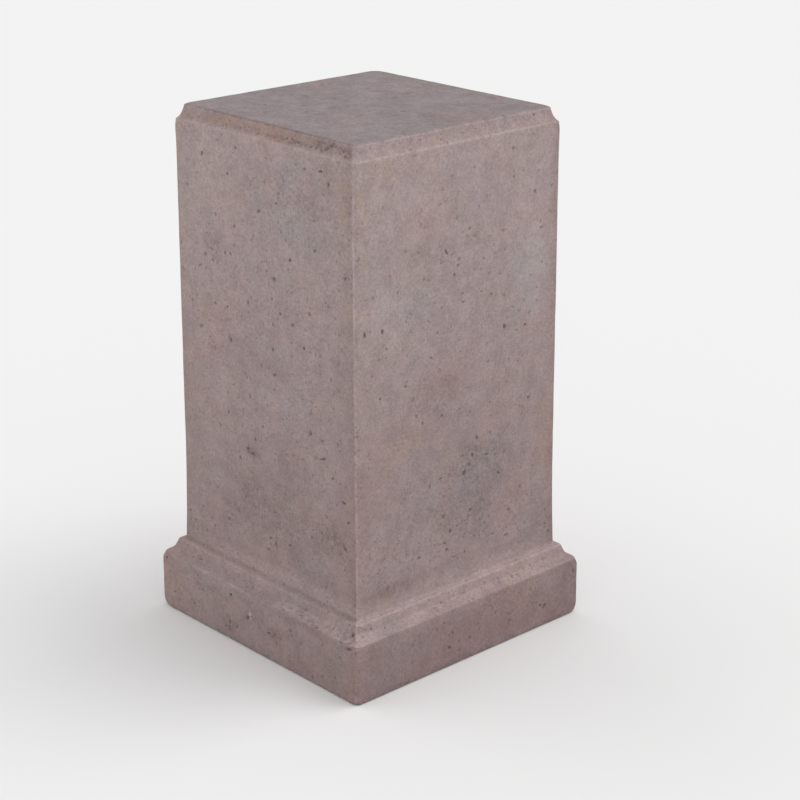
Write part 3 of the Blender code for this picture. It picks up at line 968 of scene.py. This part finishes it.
class Graph:
    """Short names for making and joining shader nodes."""

    def __init__(self, tree):
        self.tree = tree
        self.coordinates = self.make("TexCoord").outputs["Object"]

    def make(self, kind, inputs=None, **settings):
        node = self.tree.nodes.new("ShaderNode" + kind)
        for name, value in settings.items():
            setattr(node, name, value)
        for key, value in (inputs or {}).items():
            if isinstance(value, bpy.types.NodeSocket):
                self.tree.links.new(value, node.inputs[key])
            else:
                node.inputs[key].default_value = value
        return node

    def mask(self, name):
        return self.make("Attribute", attribute_name=name).outputs["Fac"]

    def moved(self, offset):
        inputs = {"Vector": self.coordinates, "Location": (offset, -offset, 2 * offset)}
        return self.make("Mapping", inputs).outputs["Vector"]

    def noise(self, size, detail, offset, warp=0.0):
        inputs = {"Scale": 1 / size, "Detail": detail, "Distortion": warp}
        return self.make("TexNoise", {"Vector": self.moved(offset), **inputs}).outputs["Fac"]

    def patches(self, name):
        size, detail, offset, warp, *levels = PATCHES[name]
        return self.ramp(self.noise(size, detail, offset, warp), *levels)

    def vector(self, operation, inputs):
        return self.make("VectorMath", inputs, operation=operation).outputs[0]

    def specks(self, name):
        """Small irregular dots on a share of the cells of a scattered pattern."""
        size, share, radius, offset, ragged = SPECKS[name]
        place = self.moved(offset)
        inputs = {"Vector": place, "Scale": SPECK_SHAKE / size, "Detail": 1.0}
        shaking = self.make("TexNoise", inputs).outputs["Color"]
        shaken = self.vector("SUBTRACT", {0: shaking, 1: (0.5, 0.5, 0.5)})
        shift = self.vector("SCALE", {0: shaken, "Scale": ragged * size * SPECK_SWAY})
        inputs = {"Vector": self.vector("ADD", {0: place, 1: shift}), "Scale": 1 / size}
        cells = self.make("TexVoronoi", inputs)
        number = self.make("SeparateColor", {0: cells.outputs["Color"]}).outputs["Red"]
        reach = self.ramp(number, 1 - share, 1.0, 0.0, radius)
        return self.ramp(self.math("SUBTRACT", reach, cells.outputs["Distance"]), *SPECK_EDGE)

    def ramp(self, value, low, high, bottom=0.0, top=1.0, kind="SMOOTHSTEP"):
        inputs = {"Value": value, 1: low, 2: high, 3: bottom, 4: top}
        return self.make("MapRange", inputs, interpolation_type=kind).outputs["Result"]

    def math(self, operation, first, second):
        return self.make("Math", {0: first, 1: second}, operation=operation).outputs["Value"]

    def times(self, *factors):
        product = factors[0]
        for factor in factors[1:]:
            product = self.math("MULTIPLY", product, factor)
        return product

    def mix(self, share, first, second, blend="MIX"):
        inputs = {0: share, 6: first, 7: second}
        node = self.make("Mix", inputs, data_type="RGBA", blend_type=blend, clamp_factor=True)
        return node.outputs[2]

    def tinted(self, colour, share, tint):
        return self.mix(share, colour, tint, "MULTIPLY")

    def shaded(self, colour, shade):
        tone = self.make("CombineColor", {0: shade, 1: shade, 2: shade}).outputs["Color"]
        return self.mix(1.0, colour, tone, "MULTIPLY")


def clouded(graph, height):
    """The colour of the stone, darker towards the bottom and tinted on the table, with soft clouds
    in it.
    """
    share = graph.ramp(height, 0.0, TOP, kind="LINEAR")
    colour = graph.mix(share, LOW_STONE, HIGH_STONE)
    colour = graph.tinted(colour, graph.mask("table"), TABLE_TINT)
    for name, tint in (("grey", GREY_TINT), ("pink", PINK_TINT), ("tan", TAN_TINT)):
        colour = graph.tinted(colour, graph.patches(name), tint)
    return colour


def stained(graph, colour):
    """Stains, of which the tan ones keep off worn and pale places."""
    colour = graph.tinted(colour, graph.times(graph.mask("grey"), SHARES["grey"]), GREY_TINT)
    colour = graph.tinted(colour, graph.mask("pale"), PALE_TINT)
    tan = graph.math("MAXIMUM", graph.mask("tan"), graph.times(graph.mask("rim"), SHARES["rim"]))
    # Wear, and the painted highlight on arrises and moulding, keep the tan off
    worn = graph.math("MAXIMUM", graph.mask("arris"), graph.mask("pale"))
    clear = graph.ramp(worn, *WORN_CLEARS_TAN)
    tan = graph.times(tan, graph.patches("tan_stain"), clear, SHARES["tan"])
    colour = graph.tinted(colour, tan, TAN_TINT)
    return graph.tinted(colour, graph.mask("dark"), DARK_TINT)


def speckled(graph, colour, fine, coarse):
    """Specks all over, and dabs, pools and sheen on the table."""
    colour = graph.tinted(colour, graph.times(fine, SHARES["fine"]), DIRT_TINT)
    colour = graph.tinted(colour, graph.times(coarse, SHARES["coarse"]), DIRT_TINT)
    table = graph.mask("table")
    dabs = graph.times(graph.specks("dabs"), table, SHARES["dabs"])
    colour = graph.tinted(colour, dabs, DARK_TINT)
    colour = graph.tinted(colour, graph.times(graph.patches("pools"), table), DARK_TINT)
    return graph.tinted(colour, graph.times(graph.patches("sheen"), table), PALE_TINT)


def weathered(graph, colour):
    """Grime, partly painted shade in the cavetto, worn arrises with a painted highlight, fresh
    chips, painted shade and dirt in the crease, and the pits.
    """
    grime = graph.times(graph.mask("grime"), graph.patches("grime"))
    colour = graph.tinted(colour, grime, DIRT_TINT)
    # Worn arrises, with a painted highlight
    arris = graph.times(graph.mask("arris"), graph.patches("arris"), SHARES["arris"])
    colour = graph.tinted(colour, arris, CREAM_TINT)
    colour = graph.tinted(colour, graph.mask("fresh"), FRESH_TINT)
    # Painted shade, with some dirt, in the crease
    crease = graph.times(graph.mask("crease"), graph.patches("crease"), SHARES["crease"])
    colour = graph.tinted(colour, crease, DARK_TINT)
    return graph.tinted(colour, graph.mask("pit"), DIRT_TINT)


def stone_material():
    """Cast stone: clouded, speckled, pitted, pale on its arrises with a painted highlight, and
    darkened in its creases with painted shade and dirt.
    """
    material = bpy.data.materials.new("cast_stone")
    material.use_nodes = True
    graph = Graph(material.node_tree)
    shader = material.node_tree.nodes["Principled BSDF"]

    height = graph.make("SeparateXYZ", {0: graph.coordinates}).outputs["Z"]
    fine = graph.times(graph.specks("fine"), graph.patches("crowding"))
    coarse = graph.times(graph.specks("coarse"), graph.ramp(height, *COARSE_THINS_OUT))

    colour = stained(graph, clouded(graph, height))
    shade = graph.times(*(graph.patches(name) for name in ("blotch", "mottle", "grain")))
    colour = graph.shaded(colour, shade)
    colour = weathered(graph, speckled(graph, colour, fine, coarse))

    relief = graph.noise(*RELIEF_NOISE)
    relief = graph.math("SUBTRACT", relief, graph.times(fine, FINE_RELIEF))
    relief = graph.math("SUBTRACT", relief, graph.times(coarse, COARSE_RELIEF))
    bump = {"Strength": BUMP_STRENGTH, "Distance": BUMP_DISTANCE, "Height": relief}

    links = material.node_tree.links
    links.new(colour, shader.inputs["Base Color"])
    links.new(graph.patches("roughness"), shader.inputs["Roughness"])
    links.new(graph.make("Bump", bump).outputs["Normal"], shader.inputs["Normal"])
    shader.inputs["Specular IOR Level"].default_value = SPECULAR
    return material


# Studio

FLOOR_TONE = 0.90
FLOOR_ROUGHNESS = 0.9
FLOOR_RADIUS = 14.0
FLOOR_SIDES = 96
FLOOR_DROP = 0.0004             # the floor lies this far under the stone
WORLD_STRENGTH = 0.70
LAMP_DISTANCE = 3.0

# Lamps: name, azimuth, elevation and spread in degrees, strength
LAMPS = (
    ("key", 145, 58, 40, 0.85),
    ("fill", -70, 40, 60, 0.33),
)


def add_floor():
    place = (0, 0, -FLOOR_DROP)
    bpy.ops.mesh.primitive_circle_add(
        vertices=FLOOR_SIDES, radius=FLOOR_RADIUS, fill_type="NGON", location=place)
    floor = bpy.context.object
    floor.name = "floor"
    material = bpy.data.materials.new("floor")
    material.use_nodes = True
    shader = material.node_tree.nodes["Principled BSDF"]
    shader.inputs["Base Color"].default_value = (FLOOR_TONE, FLOOR_TONE, FLOOR_TONE, 1.0)
    shader.inputs["Roughness"].default_value = FLOOR_ROUGHNESS
    floor.data.materials.append(material)
    floor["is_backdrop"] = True


def add_at(name, data, azimuth, elevation, distance, aim):
    """Puts a lamp or a camera round the aim, turned towards it."""
    level = cos(elevation)
    back = Vector((sin(azimuth) * level, -cos(azimuth) * level, sin(elevation)))
    item = bpy.data.objects.new(name, data)
    item.location = aim + back * distance
    item.rotation_mode = "QUATERNION"
    item.rotation_quaternion = back.to_track_quat("Z", "Y")
    bpy.context.scene.collection.objects.link(item)
    return item


def add_lamp(name, azimuth, elevation, spread, strength):
    """Even light from far away, softened by the angle it spreads over."""
    light = bpy.data.lights.new(name, "SUN")
    light.angle = radians(spread)
    light.energy = strength
    origin = Vector((0, 0, 0))
    add_at(name, light, radians(azimuth), radians(elevation), LAMP_DISTANCE, origin)


def add_world():
    world = bpy.data.worlds.new("studio")
    world.use_nodes = True
    background = world.node_tree.nodes["Background"]
    background.inputs["Color"].default_value = (1.0, 1.0, 1.0, 1.0)
    background.inputs["Strength"].default_value = WORLD_STRENGTH
    bpy.context.scene.world = world


def add_camera():
    lens = bpy.data.cameras.new("camera")
    lens.lens = CAMERA_LENS
    view = (CAMERA_AZIMUTH, CAMERA_ELEVATION, CAMERA_DISTANCE, CAMERA_AIM)
    bpy.context.scene.camera = add_at("camera", lens, *view)


def write_sizes():
    """Puts the solid's box and the dressed piece's box into a dictionary, which is not kept."""
    boxes = {"cad": CAD_BOX, "visual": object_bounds()}
    {name: [list(corner) for corner in box] for name, box in boxes.items()}


add_camera()
add_floor()
add_world()
for lamp in LAMPS:
    add_lamp(*lamp)
bpy.context.scene.view_settings.view_transform = "Standard"

pedestal = build_pedestal()
pedestal.data.materials.append(stone_material())
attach(pedestal, "root")
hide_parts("pedestal")

write_sizes()
